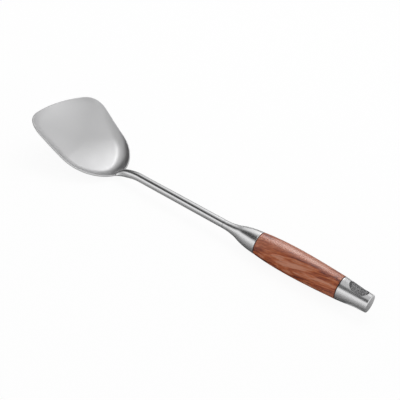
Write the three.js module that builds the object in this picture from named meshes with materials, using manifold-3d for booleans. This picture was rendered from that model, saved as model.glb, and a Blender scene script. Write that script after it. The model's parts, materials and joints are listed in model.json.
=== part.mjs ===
// A wok spatula: a dished steel blade on a bent round shank, with a turned steel bolster,
// a waisted hardwood grip and a steel end cap that has an oblong hanging hole.
// Units are millimetres and +Z is up. The spatula lies as it does on a worktop, on the
// blade's heel and the belly of the grip. X runs from the blade to the end cap, and the
// origin is under the middle of the whole spatula, on the worktop.

import * as THREE from 'three';
import { mergeVertices } from 'three/addons/utils/BufferGeometryUtils.js';
import Module from 'manifold-3d';

const wasm = await Module();
wasm.setup();

// Blade: the outline's front is bowed, its sides close in towards the heel, and the heel is round.
const bladeLength = 97.4;
const bladeFrontWidth = 105.6;
const bladeShoulderWidth = 91.6;
const bladeHeelLength = 38;
const bladeFrontBow = 8.3;
const bladeCornerReach = 20;
const sheetThickness = 1.5;

// Blade dish: the floor falls from the front edge and levels off, a ramp climbs from it towards the
// heel, and a wall curls up round the heel and the sides. The floor is slightly hollow across.
const heelRise = 10;
const heelWallRun = 12.6;
const dishDepth = 2.6;
const dishFallRun = 60;
const dishRampRise = 5;
const dishRampRun = 50;
const sideRise = 3.1;
const sideWallRise = 1.2;
const sideWallFadeRun = 40;

// Shank: it laps the heel's wall, bends back and runs straight to the bolster.
const rootLength = 11;
const rootWidth = 16.5;
const rootHeight = 1.9;
const rimHeight = 3.3;
const rimDepth = 1.3;
const neckLength = 14;
const shankDiameter = 8.4;
const shankBackDiameter = 8.5;
const bendLength = 27.7;
const shankStraight = 100.1;
const handleRise = 30;
const spigotShoulder = 1.65;
const spigotLength = 11;

// Bolster: a flare from the shank to the grip, with a tenon that enters the grip.
const bolsterLength = 39;
const jointDiameter = 22.1;
const tenonDiameter = 12;
const tenonLength = 6;
const bolsterSocketDepth = 14;

// Grip: hardwood, fullest a little ahead of its middle, with a chamfer at each end.
const gripLength = 84.8;
const gripBelly = 25.9;
const jointChamfer = 0.4;

// Tang: a stud that is screwed into the bolster and into the end cap.
const tangDiameter = 6;
const tangChamfer = 0.6;

// End cap: it tapers to a flat end and has an oblong hanging hole right through it.
const capLength = 29.1;
const capEndDiameter = 17;
const capEdge = 0.8;
const capTenonLength = 5;
const capSocketWeb = 1.8;
const hangHoleFrontWall = 6;
const hangHoleBackWall = 4.2;
const hangHoleSideWall = 1.85;

// Clearances: what seats in or on another piece, the tang's way through the wood, and cuts.
const seatGap = 0.3;
const boreGap = 0.4;
const overrun = 3;

// Facets: round pieces, the blade's outline stretches and its rings, and the shank.
const roundSides = 44;
const frontSteps = 9;
const cornerSteps = 7;
const sideSteps = 6;
const heelSteps = 14;
const wallRings = 7;
const floorRings = 8;
const edgeSteps = 4;
const shankSides = 24;
const bendSteps = 10;
const profileSteps = 15;
const holeCornerSteps = 7;
const restRounds = 8;

// The walk down the heel's wall: its steps, and the inset over which a slope is taken.
const wallWalkSteps = 60;
const slopeStep = 0.02;

const halfFront = bladeFrontWidth / 2;
const halfShoulder = bladeShoulderWidth / 2;
const jointRadius = jointDiameter / 2;
const capEndRadius = capEndDiameter / 2;
const tangRadius = tangDiameter / 2;
const tenonRadius = tenonDiameter / 2;
const shankRadius = shankDiameter / 2;
const shankBackRadius = shankBackDiameter / 2;
const spigotRadius = shankBackRadius - spigotShoulder;

const steel = new THREE.MeshStandardMaterial({ color: 0xb9babb, roughness: 0.34, metalness: 1 });
const polishedSteel = new THREE.MeshStandardMaterial({ color: 0xc2c3c5, roughness: 0.24, metalness: 1 });
const hardwood = new THREE.MeshStandardMaterial({ color: 0x8c4a33, roughness: 0.45, metalness: 0 });

// Helpers

function part(name, geometry, material) {
  const mesh = new THREE.Mesh(geometry, material);
  mesh.name = name;
  return mesh;
}

function toSolid(geometry) {
  const bare = geometry.clone();
  bare.deleteAttribute('normal');
  bare.deleteAttribute('uv');
  const merged = mergeVertices(bare);
  return new wasm.Manifold(new wasm.Mesh({
    numProp: 3,
    vertProperties: new Float32Array(merged.attributes.position.array),
    triVerts: new Uint32Array(merged.index.array),
  }));
}

function toGeometry(solid) {
  const mesh = solid.getMesh();
  const geometry = new THREE.BufferGeometry();
  geometry.setAttribute('position', new THREE.BufferAttribute(mesh.vertProperties, 3));
  geometry.setIndex(new THREE.BufferAttribute(mesh.triVerts, 1));
  geometry.computeVertexNormals();
  return geometry;
}

function indexedGeometry(points, triangles) {
  const geometry = new THREE.BufferGeometry();
  geometry.setFromPoints(points);
  geometry.setIndex(triangles.flat());
  geometry.computeVertexNormals();
  return geometry;
}

// A turned piece whose axis is X. The profile holds [place along the axis, radius], outside
// first and running to +X. A facet, not an edge, faces straight down.
function turned(profile) {
  const points = profile.map(([along, radius]) => new THREE.Vector2(radius, along));
  const geometry = new THREE.LatheGeometry(points, roundSides, Math.PI / roundSides);
  geometry.rotateZ(-Math.PI / 2);
  return geometry;
}

// Blade

// The heel is half an ellipse, drawn in a little towards the shank.
const heelDrawIn = 1.08;

// Half of the outer edge seen from above, from the middle of the front to the middle of the heel.
function halfOutline() {
  const frontEdge = (y) => new THREE.Vector2(-bladeLength + bladeFrontBow * (y / halfFront) ** 2, y);
  const corner = frontEdge(halfFront);
  const shoulder = new THREE.Vector2(-bladeHeelLength, halfShoulder);
  const sideWay = shoulder.clone().sub(corner).normalize();
  const sideSlope = sideWay.y / sideWay.x;

  const roundStart = frontEdge(halfFront - bladeCornerReach);
  const roundEnd = corner.clone().addScaledVector(sideWay, bladeCornerReach);
  const frontSlope = 2 * bladeFrontBow * roundStart.y / halfFront ** 2;
  const reach = (corner.y - roundStart.y + sideSlope * (roundStart.x - corner.x)) / (1 - sideSlope * frontSlope);
  const knee = new THREE.Vector2(roundStart.x + frontSlope * reach, roundStart.y + reach);

  const outline = [];
  for (let i = 0; i < frontSteps; i++) outline.push(frontEdge(roundStart.y * i / frontSteps));
  outline.push(...new THREE.QuadraticBezierCurve(roundStart, knee, roundEnd).getPoints(cornerSteps));
  for (let i = 1; i < sideSteps; i++) outline.push(roundEnd.clone().lerp(shoulder, i / sideSteps));
  for (let i = 0; i <= heelSteps; i++) {
    const turn = Math.PI / 2 * i / heelSteps;
    const x = -bladeHeelLength * (1 - Math.sin(turn));
    const y = Math.cos(turn) ** heelDrawIn * (halfShoulder + sideSlope * (x + bladeHeelLength));
    outline.push(new THREE.Vector2(x, i === heelSteps ? 0 : y));
  }
  return outline;
}

function wholeOutline() {
  const half = halfOutline();
  const mirrored = half.slice(1, -1).reverse().map((point) => new THREE.Vector2(point.x, -point.y));
  return [...half, ...mirrored];
}

// The floor levels off within a share of its fall's run on either side of the run's end.
const levellingShare = 0.25;

// Height of the floor, before the ramp and the wall stand on it.
function floorHeight(x, y) {
  const share = (x + bladeLength) / dishFallRun;
  const levelling = THREE.MathUtils.clamp(share - 1 + levellingShare, 0, 2 * levellingShare);
  const fall = Math.min(share, 1 + levellingShare) - levelling ** 2 / (4 * levellingShare);
  const sideWall = sideWallRise * THREE.MathUtils.smoothstep(x, -bladeLength, sideWallFadeRun - bladeLength);
  return (sideRise - sideWall) * (y / halfFront) ** 2 - dishDepth * fall;
}

// Height of the curled wall at an inset from the rim, as an arc that starts level with the floor.
function wallHeight(rise, inset) {
  const reach = heelWallRun - inset;
  if (rise <= 0 || reach <= 0) return 0;
  const radius = (heelWallRun ** 2 + rise ** 2) / (2 * rise);
  return radius - Math.sqrt(radius ** 2 - reach ** 2);
}

// Height of the sheet's middle surface at a place, an inset from a point of the outline.
function sheetHeight(place, outlinePoint, inset) {
  const heelShare = ((outlinePoint.x + bladeLength) / bladeLength) ** 3;
  const edgeHeight = heelRise * heelShare + sideRise * (outlinePoint.y / halfFront) ** 2;
  const rampRise = dishRampRise * heelShare;
  const wallRise = edgeHeight - rampRise - floorHeight(outlinePoint.x, outlinePoint.y);
  const ramp = rampRise * Math.max(0, 1 - inset / dishRampRun) ** 2;
  return floorHeight(place.x, place.y) + ramp + wallHeight(wallRise, inset);
}

// The blade's sheet. A clearance makes it the space that the sheet needs in a piece that laps it,
// and an undercut carries that space on under the sheet.
function bladeGeometry(clearance = 0, undercut = 0) {
  const outline = wholeOutline();
  const count = outline.length;
  const centre = new THREE.Vector2(-bladeLength / 2, 0);
  const above = sheetThickness / 2 + clearance;
  const below = above + undercut;
  const outward = outline.map((point, i) => {
    const along = outline[(i + 1) % count].clone().sub(outline[(i + count - 1) % count]);
    return new THREE.Vector2(-along.y, along.x).normalize();
  });

  // Rings of the sheet's middle surface, from the edge to the floor's centre.
  const rings = [];
  for (let ring = wallRings; ring >= 0; ring--) {
    const inset = heelWallRun * (1 - ring / wallRings);
    rings.push(outline.map((point, i) => {
      const place = point.clone().addScaledVector(outward[i], -sheetThickness / 2 - inset);
      return new THREE.Vector3(place.x, place.y, sheetHeight(place, point, inset));
    }));
  }
  const wallFoot = rings[wallRings];
  for (let ring = 1; ring < floorRings; ring++) {
    rings.push(wallFoot.map((point, i) => {
      const foot = new THREE.Vector2(point.x, point.y);
      const place = foot.clone().lerp(centre, ring / floorRings);
      const inset = heelWallRun + place.distanceTo(foot);
      return new THREE.Vector3(place.x, place.y, sheetHeight(place, outline[i], inset));
    }));
  }
  const middle = rings.flat();
  const ringCount = rings.length;
  middle.push(new THREE.Vector3(centre.x, centre.y, floorHeight(centre.x, centre.y)));

  const sheet = [];
  for (let ring = 0; ring < ringCount - 1; ring++) {
    for (let i = 0; i < count; i++) {
      const next = (i + 1) % count;
      const [a, b] = [ring * count + i, ring * count + next];
      const [c, d] = [b + count, a + count];
      sheet.push([a, d, c], [a, c, b]);
    }
  }
  const last = (ringCount - 1) * count;
  for (let i = 0; i < count; i++) sheet.push([last + i, middle.length - 1, last + (i + 1) % count]);

  const normals = indexedGeometry(middle, sheet).attributes.normal;
  const normalAt = (i) => new THREE.Vector3().fromBufferAttribute(normals, i);
  const top = middle.map((point, i) => point.clone().addScaledVector(normalAt(i), above));
  const bottom = middle.map((point, i) => point.clone().addScaledVector(normalAt(i), -below));

  // The edge is half round: its points turn about the middle surface's rim.
  const edge = [];
  for (let step = 1; step < edgeSteps; step++) {
    const turn = Math.PI * step / edgeSteps;
    const lift = Math.cos(turn) * (Math.cos(turn) > 0 ? above : below);
    for (let i = 0; i < count; i++) {
      const along = middle[(i + 1) % count].clone().sub(middle[(i + count - 1) % count]);
      const away = new THREE.Vector3().crossVectors(normalAt(i), along).normalize();
      edge.push(middle[i].clone()
        .addScaledVector(normalAt(i), lift)
        .addScaledVector(away, above * Math.sin(turn)));
    }
  }

  const points = [...top, ...bottom, ...edge];
  const size = middle.length;
  const triangles = [...sheet, ...sheet.map(([a, b, c]) => [a + size, c + size, b + size])];
  const edgeRing = (step, i) => {
    if (step === 0) return i;
    if (step === edgeSteps) return size + i;
    return 2 * size + (step - 1) * count + i;
  };
  for (let step = 0; step < edgeSteps; step++) {
    for (let i = 0; i < count; i++) {
      const next = (i + 1) % count;
      const [a, b] = [edgeRing(step, i), edgeRing(step, next)];
      const [c, d] = [edgeRing(step + 1, next), edgeRing(step + 1, i)];
      triangles.push([a, b, c], [a, c, d]);
    }
  }
  return indexedGeometry(points, triangles);
}

// Shank

// Its middle line lies in the XZ plane: up the heel's wall, over the bend, then straight.
const heelMiddle = new THREE.Vector2(0, 0);
const wallPlace = (inset) => new THREE.Vector2(-sheetThickness / 2 - inset, 0);
const wallHeightAt = (inset) => sheetHeight(wallPlace(inset), heelMiddle, inset);
const wallAngleAt = (inset) => Math.atan2(
  wallHeightAt(inset) - wallHeightAt(inset + slopeStep), slopeStep);
const wallAngle = wallAngleAt(0);
const handleAngle = THREE.MathUtils.degToRad(handleRise);
const bendRadius = bendLength / (wallAngle - handleAngle);
const rimEnd = new THREE.Vector3(-sheetThickness / 2, 0, heelRise);

// Place and slope at a distance from the heel's rim along the shank, less than zero on the wall.
function shankAt(distance) {
  if (distance <= 0) {
    const stride = -distance / wallWalkSteps;
    let inset = 0;
    for (let step = 0; step < wallWalkSteps; step++) inset += stride * Math.cos(wallAngleAt(inset));
    const place = new THREE.Vector3(wallPlace(inset).x, 0, wallHeightAt(inset));
    return { place, angle: wallAngleAt(inset) };
  }
  const bent = Math.min(distance, bendLength);
  const angle = wallAngle - bent / bendRadius;
  const straight = distance - bent;
  const x = rimEnd.x + bendRadius * (Math.sin(wallAngle) - Math.sin(angle)) + straight * Math.cos(angle);
  const z = rimEnd.z + bendRadius * (Math.cos(angle) - Math.cos(wallAngle)) + straight * Math.sin(angle);
  return { place: new THREE.Vector3(x, 0, z), angle };
}

// The lapped root lies on the wall's inner face, and the neck behind it butts against the rim.
// The root's widths are shares of its own width, and its heights over the sheet's middle go from
// its tip's to the rim's.
const rootPlaceShares = [0, 0.08, 0.22, 0.42, 0.65, 0.85, 1];
const rootWidthShares = [0.4, 0.62, 0.84, 0.97, 1, 0.92, 0.76];
const rootHeightShares = [0, 0.1, 0.25, 0.45, 0.68, 0.88, 1];
const neckShares = [0.1, 0.21, 0.35, 0.5, 0.66, 0.83, 1];
const neckTopFlare = 3;
const neckBottomFlare = 1.5;

function shankGeometry() {
  const stations = rootPlaceShares.map((share, i) => ({
    distance: -rootLength * (1 - share),
    width: rootWidth / 2 * rootWidthShares[i],
    height: THREE.MathUtils.lerp(rootHeight, rimHeight, rootHeightShares[i]),
    depth: rimDepth,
  }));
  const rim = stations.at(-1);
  for (const share of neckShares) {
    const height = THREE.MathUtils.lerp(shankRadius, rim.height, (1 - share) ** neckTopFlare);
    const width = THREE.MathUtils.lerp(shankRadius, rim.width, (1 - share) ** neckTopFlare);
    const depth = THREE.MathUtils.lerp(shankRadius, rim.depth, (1 - share) ** neckBottomFlare);
    stations.push({ distance: neckLength * share, width, height, depth });
  }
  const rodLength = bendLength + shankStraight;
  const rodRadius = (distance) => THREE.MathUtils.mapLinear(
    distance, neckLength, rodLength, shankRadius, shankBackRadius);
  const round = (distance, radius) => stations.push({ distance, width: radius, height: radius, depth: radius });
  for (let i = 1; i <= bendSteps; i++) {
    const distance = THREE.MathUtils.lerp(neckLength, bendLength, i / bendSteps);
    round(distance, rodRadius(distance));
  }
  round(rodLength, shankBackRadius);
  round(rodLength, spigotRadius);
  round(rodLength + spigotLength, spigotRadius);

  const points = [];
  for (const { distance, width, height, depth } of stations) {
    const { place, angle } = shankAt(distance);
    const up = new THREE.Vector3(-Math.sin(angle), 0, Math.cos(angle));
    for (let side = 0; side < shankSides; side++) {
      const turn = 2 * Math.PI * side / shankSides;
      const lift = Math.sin(turn) * (Math.sin(turn) > 0 ? height : depth);
      const point = place.clone().addScaledVector(up, lift);
      point.y = width * Math.cos(turn);
      points.push(point);
    }
  }
  const triangles = [];
  for (let station = 0; station < stations.length - 1; station++) {
    for (let side = 0; side < shankSides; side++) {
      const next = (side + 1) % shankSides;
      const [a, b] = [station * shankSides + side, station * shankSides + next];
      const [c, d] = [b + shankSides, a + shankSides];
      triangles.push([a, b, c], [a, c, d]);
    }
  }
  const back = (stations.length - 1) * shankSides;
  for (let side = 1; side < shankSides - 1; side++) {
    triangles.push([0, side + 1, side], [back, back + side, back + side + 1]);
  }
  const bar = toSolid(indexedGeometry(points, triangles));
  return toGeometry(bar.subtract(toSolid(bladeGeometry(seatGap, overrun))));
}

// Handle: its pieces lie along the handle's own X axis, which starts where the shank ends.

const bolsterFront = seatGap;
const bolsterBack = bolsterFront + bolsterLength;
const gripFront = bolsterBack + seatGap;
const gripBack = gripFront + gripLength;
const capFront = gripBack + seatGap;
const capBack = capFront + capLength;
const capSocketDepth = hangHoleFrontWall - capSocketWeb;

// The flare's radii between the shank's and the joint's, as shares at shares of its length.
const flareShares = [[0, 0], [0.16, 0.05], [0.36, 0.25], [0.56, 0.6], [0.78, 0.86], [1, 1]];

function bolsterGeometry() {
  const curve = new THREE.SplineCurve(flareShares.map(([along, flare]) => new THREE.Vector2(
    THREE.MathUtils.lerp(bolsterFront, bolsterBack - jointChamfer, along),
    THREE.MathUtils.lerp(shankBackRadius, jointRadius, flare),
  )));
  const outside = curve.getPoints(profileSteps).map((point) => [point.x, point.y]);
  const tenonBack = bolsterBack + tenonLength;
  const studSocket = tangRadius + seatGap;
  return turned([
    [bolsterFront + spigotLength, 0],
    [bolsterFront + spigotLength, spigotRadius + seatGap],
    [bolsterFront, spigotRadius + seatGap],
    ...outside,
    [bolsterBack, jointRadius - jointChamfer],
    [bolsterBack, tenonRadius],
    [tenonBack, tenonRadius],
    [tenonBack, studSocket],
    [tenonBack - bolsterSocketDepth, studSocket],
    [tenonBack - bolsterSocketDepth, 0],
  ]);
}

const bellySkew = 0.8;

function gripGeometry() {
  const outside = [];
  for (let i = 0; i <= profileSteps; i++) {
    const share = i / profileSteps;
    const swell = (gripBelly / 2 - jointRadius) * Math.sin(Math.PI * share ** bellySkew);
    outside.push([THREE.MathUtils.lerp(gripFront + jointChamfer, gripBack - jointChamfer, share), jointRadius + swell]);
  }
  const bore = tangRadius + boreGap;
  const counterbore = tenonRadius + seatGap;
  const frontStep = bolsterBack + tenonLength + seatGap;
  const backStep = capFront - capTenonLength - seatGap;
  const profile = [
    [gripFront, counterbore],
    [gripFront, jointRadius - jointChamfer],
    ...outside,
    [gripBack, jointRadius - jointChamfer],
    [gripBack, counterbore],
    [backStep, counterbore],
    [backStep, bore],
    [frontStep, bore],
    [frontStep, counterbore],
  ];
  return turned([...profile, profile[0]]);
}

function tangGeometry() {
  const front = bolsterBack + tenonLength - bolsterSocketDepth + seatGap;
  const back = capFront + capSocketDepth - seatGap;
  return turned([
    [front, 0],
    [front, tangRadius - tangChamfer],
    [front + tangChamfer, tangRadius],
    [back - tangChamfer, tangRadius],
    [back, tangRadius - tangChamfer],
    [back, 0],
  ]);
}

const capTaper = 1.25;
const hangHoleLength = capLength - hangHoleFrontWall - hangHoleBackWall;
const hangHoleWidth = capEndDiameter - 2 * hangHoleSideWall;

// The hanging hole seen from above: an oblong, as round at its ends as its sides allow.
function hangHoleShape() {
  const radius = Math.min(hangHoleLength, hangHoleWidth) / 2;
  const reach = hangHoleLength / 2 - radius;
  const spread = hangHoleWidth / 2 - radius;
  const shape = new THREE.Shape();
  const corners = [[reach, -spread], [reach, spread], [-reach, spread], [-reach, -spread]];
  corners.forEach(([x, y], i) => {
    const start = (i - 1) * Math.PI / 2;
    shape.absarc(x, y, radius, start, start + Math.PI / 2, false);
  });
  return shape;
}

function capGeometry() {
  const outside = [];
  for (let i = 0; i <= profileSteps; i++) {
    const share = i / profileSteps;
    const radius = THREE.MathUtils.lerp(capEndRadius, jointRadius, (1 - share) ** capTaper);
    outside.push([THREE.MathUtils.lerp(capFront + jointChamfer, capBack - capEdge, share), radius]);
  }
  const tenonFront = capFront - capTenonLength;
  const studSocket = tangRadius + seatGap;
  const body = toSolid(turned([
    [capFront + capSocketDepth, 0],
    [capFront + capSocketDepth, studSocket],
    [tenonFront, studSocket],
    [tenonFront, tenonRadius],
    [capFront, tenonRadius],
    [capFront, jointRadius - jointChamfer],
    ...outside,
    [capBack - capEdge / 3, capEndRadius - capEdge / 3],
    [capBack, capEndRadius - capEdge],
    [capBack, 0],
  ]));

  const cutHeight = jointDiameter + 2 * overrun;
  const cut = new THREE.ExtrudeGeometry(hangHoleShape(), {
    depth: cutHeight,
    bevelEnabled: false,
    curveSegments: holeCornerSteps,
  });
  cut.translate(capFront + hangHoleFrontWall + hangHoleLength / 2, 0, -cutHeight / 2);
  return toGeometry(body.subtract(toSolid(cut)));
}

// Assembly

const handle = new THREE.Group();
const shankEnd = shankAt(bendLength + shankStraight);
handle.position.copy(shankEnd.place);
handle.rotation.y = -handleAngle;
handle.add(
  part('bolster', bolsterGeometry(), polishedSteel),
  part('tang', tangGeometry(), steel),
  part('grip', gripGeometry(), hardwood),
  part('end_cap', capGeometry(), polishedSteel),
);

const head = new THREE.Group();
head.add(
  part('blade', bladeGeometry(), steel),
  part('shank', shankGeometry(), polishedSteel),
);

const spatula = new THREE.Group();
spatula.add(head, handle);

// The spatula rests on the line that touches both the head and the handle from below.
function worldPoints(node) {
  const points = [];
  node.updateWorldMatrix(true, true);
  node.traverse((item) => {
    if (!item.isMesh) return;
    const place = item.geometry.attributes.position;
    for (let i = 0; i < place.count; i++) {
      points.push(new THREE.Vector3().fromBufferAttribute(place, i).applyMatrix4(item.matrixWorld));
    }
  });
  return points;
}

function restAngle() {
  const headPoints = worldPoints(head);
  const handlePoints = worldPoints(handle);
  const lowest = (points, angle) => points.reduce((low, point) => {
    const height = (p) => p.z * Math.cos(angle) - p.x * Math.sin(angle);
    return height(point) < height(low) ? point : low;
  });
  let angle = handleAngle;
  for (let round = 0; round < restRounds; round++) {
    const heel = lowest(headPoints, angle);
    const belly = lowest(handlePoints, angle);
    angle = Math.atan2(belly.z - heel.z, belly.x - heel.x);
  }
  return angle;
}

spatula.rotation.y = restAngle();
const box = new THREE.Box3().setFromPoints(worldPoints(spatula));
const middle = box.getCenter(new THREE.Vector3());
spatula.position.set(-middle.x, -middle.y, -box.min.z);

export default spatula;
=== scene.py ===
"""A wok spatula in satin steel and reddish hardwood, lying on a pale studio floor.

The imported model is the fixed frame. Each visible steel or wooden piece is modelled again with
smooth faces on the place of its CAD node, and dressed with a procedural finish.
"""
import json
import logging
import math
from dataclasses import dataclass, field
from enum import Enum
from typing import Callable

import bpy
from mathutils import Matrix, Vector


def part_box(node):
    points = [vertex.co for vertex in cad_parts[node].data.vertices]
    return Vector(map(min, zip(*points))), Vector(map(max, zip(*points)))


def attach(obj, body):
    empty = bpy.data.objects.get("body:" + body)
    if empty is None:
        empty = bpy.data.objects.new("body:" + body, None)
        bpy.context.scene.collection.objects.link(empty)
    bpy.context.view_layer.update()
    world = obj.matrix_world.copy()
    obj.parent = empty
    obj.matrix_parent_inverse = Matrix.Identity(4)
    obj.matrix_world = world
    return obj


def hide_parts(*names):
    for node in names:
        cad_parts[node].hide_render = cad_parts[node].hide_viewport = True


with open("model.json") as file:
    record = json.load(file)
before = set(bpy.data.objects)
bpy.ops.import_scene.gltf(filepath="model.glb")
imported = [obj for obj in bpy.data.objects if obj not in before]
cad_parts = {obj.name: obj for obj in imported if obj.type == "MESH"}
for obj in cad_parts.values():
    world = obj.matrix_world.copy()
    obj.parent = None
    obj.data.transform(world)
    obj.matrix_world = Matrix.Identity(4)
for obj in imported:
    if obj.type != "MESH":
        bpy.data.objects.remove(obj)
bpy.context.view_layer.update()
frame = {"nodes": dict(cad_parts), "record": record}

log = logging.getLogger("wok_spatula")

MM = 0.001
BODY = "root"

# Points nearer to each other than this are one point.
MERGE_DISTANCE = 0.001 * MM
# A wall that rises less than this is level.
LEVEL_RISE = 1e-9
# A point nearer to the hanging hole's middle than this lies in it.
MIDDLE_REACH = 1e-7
# Angles in degrees from which an edge between two faces is sharp: on a bent and on a turned piece
# it stays sharp in the shading, and on the sheet it is the edge that is rounded.
BENT_SHARP_FROM = 50.0
TURNED_SHARP_FROM = 32.0
SHEET_EDGE_FROM = 60.0

PlanePoint = tuple[float, float]
Rgb = tuple[float, float, float]
Socket = bpy.types.NodeSocket


class Slot(Enum):
    """Names of the record's material slots."""

    SATIN_STEEL = "satin_steel"
    POLISHED_STEEL = "polished_steel"
    HARDWOOD = "hardwood"


# Modelling helpers


def select_nothing() -> None:
    """Leaves edit mode and deselects every object."""
    if bpy.context.mode != "OBJECT":
        bpy.ops.object.mode_set(mode="OBJECT")
    bpy.ops.object.select_all(action="DESELECT")


def make_active(piece: bpy.types.Object) -> None:
    """Selects one object alone and makes it the active one.

    Args:
        piece: The object.
    """
    select_nothing()
    piece.select_set(True)
    bpy.context.view_layer.objects.active = piece


def apply_modifier(piece: bpy.types.Object, kind: str, **settings: object) -> None:
    """Adds a modifier to an object and applies it.

    Args:
        piece: The object.
        kind: The modifier's type.
        **settings: Values for the modifier's properties.
    """
    make_active(piece)
    modifier = piece.modifiers.new(kind.title(), kind)
    for name, value in settings.items():
        setattr(modifier, name, value)
    bpy.ops.object.modifier_apply(modifier=modifier.name)


def clean_shell(piece: bpy.types.Object) -> None:
    """Merges doubled points and turns all faces outwards.

    Args:
        piece: The object.
    """
    make_active(piece)
    bpy.ops.object.mode_set(mode="EDIT")
    bpy.ops.mesh.select_all(action="SELECT")
    bpy.ops.mesh.remove_doubles(threshold=MERGE_DISTANCE)
    bpy.ops.mesh.normals_make_consistent(inside=False)
    bpy.ops.object.mode_set(mode="OBJECT")


def smooth_shading(piece: bpy.types.Object, sharp_from: float) -> None:
    """Shades an object smooth, apart from its sharp edges.

    Args:
        piece: The object.
        sharp_from: The angle between two faces, in degrees, from which their edge stays sharp.
    """
    make_active(piece)
    bpy.ops.object.shade_smooth_by_angle(angle=math.radians(sharp_from))
    select_nothing()


def place_mesh(piece: bpy.types.Object, matrix: Matrix) -> None:
    """Moves an object and writes its place into its mesh, so that the object is at the origin.

    Args:
        piece: The object.
        matrix: Its place in the frame.
    """
    make_active(piece)
    piece.matrix_world = matrix
    bpy.ops.object.transform_apply(location=True, rotation=True, scale=True)
    select_nothing()


def reshape(piece: bpy.types.Object, place: Callable[[Vector], Vector]) -> None:
    """Moves every point of an object's mesh.

    Args:
        piece: The object.
        place: Gives a point's new place from its present one.
    """
    for vertex in piece.data.vertices:
        vertex.co = place(vertex.co)
    piece.data.update()


def turned(name: str, profile: list[PlanePoint], steps: int) -> bpy.types.Object:
    """Turns a profile about the X axis, as on a lathe.

    Args:
        name: The new object's name.
        profile: Places along the axis and radii, from one end of the outline to the other.
        steps: How many steps the full turn has.

    Returns:
        The turned object, with its doubled points merged.
    """
    select_nothing()
    bpy.ops.mesh.primitive_plane_add(size=MM, location=(profile[0][0], 0, profile[0][1]))
    piece = bpy.context.object
    piece.name = name
    bpy.ops.object.mode_set(mode="EDIT")
    bpy.ops.mesh.select_all(action="SELECT")
    bpy.ops.mesh.merge(type="CENTER")
    for (along, radius), (next_along, next_radius) in zip(profile, profile[1:]):
        move = (next_along - along, 0, next_radius - radius)
        bpy.ops.mesh.extrude_vertices_move(TRANSFORM_OT_translate={"value": move})
    bpy.ops.mesh.select_all(action="SELECT")
    bpy.ops.mesh.spin(steps=steps, angle=2 * math.pi, center=(0, 0, 0), axis=(1, 0, 0))
    bpy.ops.object.mode_set(mode="OBJECT")
    place_mesh(piece, piece.matrix_world.copy())
    clean_shell(piece)
    return piece


def smooth_step(share: float) -> float:
    """Eases a share between 0 and 1, and holds it to them."""
    held = min(max(share, 0.0), 1.0)
    return held * held * (3 - 2 * held)


def mix(start: float, end: float, share: float) -> float:
    """Gives the value at a share of the way from one number to another."""
    return start + (end - start) * share


def side_line(
    start: float, end: float, steps: int, radius: Callable[[float], float]
) -> list[PlanePoint]:
    """Gives the side of a turned piece.

    Args:
        start: The side's first place along the axis.
        end: The side's last place along the axis.
        steps: How many steps the side has.
        radius: Gives the radius at a share of the way.

    Returns:
        The places along the axis and the radii.
    """
    shares = [i / steps for i in range(steps + 1)]
    return [(mix(start, end, share), radius(share)) for share in shares]


def rounded_corner(
    start: PlanePoint, knee: PlanePoint, end: PlanePoint, steps: int
) -> list[PlanePoint]:
    """Gives an outline's rounded corner as a quadratic curve.

    Args:
        start: The corner's first point.
        knee: The sharp corner that it rounds.
        end: The corner's last point.
        steps: How many steps the curve has.

    Returns:
        The curve's points, with both ends.
    """
    points = []
    for step in range(steps + 1):
        share = step / steps
        weights = ((1 - share) ** 2, 2 * share * (1 - share), share**2)
        points.append(tuple(sum(w * p[i] for w, p in zip(weights, (start, knee, end))) for i in (0, 1)))
    return points


def rounded_end(side_end: PlanePoint, face: float, reach: float, steps: int) -> list[PlanePoint]:
    """Rounds the edge between the side and a flat face of a turned piece.

    Args:
        side_end: The side's point where the rounding starts.
        face: The face's place along the axis.
        reach: How far the rounding reaches down the face.
        steps: How many steps it has.

    Returns:
        The points from the side to the face, without the side's own.
    """
    radius = side_end[1]
    return rounded_corner(side_end, (face, radius), (face, radius - reach), steps)[1:]


def finish_piece(piece: bpy.types.Object, node: str, slot: Slot, material: bpy.types.Material) -> None:
    """Dresses a new piece, and lets it ride and stand for its CAD node.

    Args:
        piece: The object.
        node: The CAD node that it replaces.
        slot: The record's slot for its finish; not used.
        material: Its material.
    """
    piece.data.materials.clear()
    piece.data.materials.append(material)
    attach(piece, BODY)
    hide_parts(node)
    log.info("%s stands for %s with %d faces", piece.name, node, len(piece.data.polygons))


# Shader helpers


@dataclass(frozen=True)
class Noise:
    """The values of a noise texture.

    Attributes:
        scale: How many cells it has to a metre.
        detail: How many finer octaves it has.
        roughness: How strong the finer octaves are.
        distortion: How far it is swirled.
        weight: Its weight in a mean of several.
    """

    scale: float
    detail: float
    roughness: float = 0.5
    distortion: float = 0.0
    weight: float = 1.0


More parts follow.
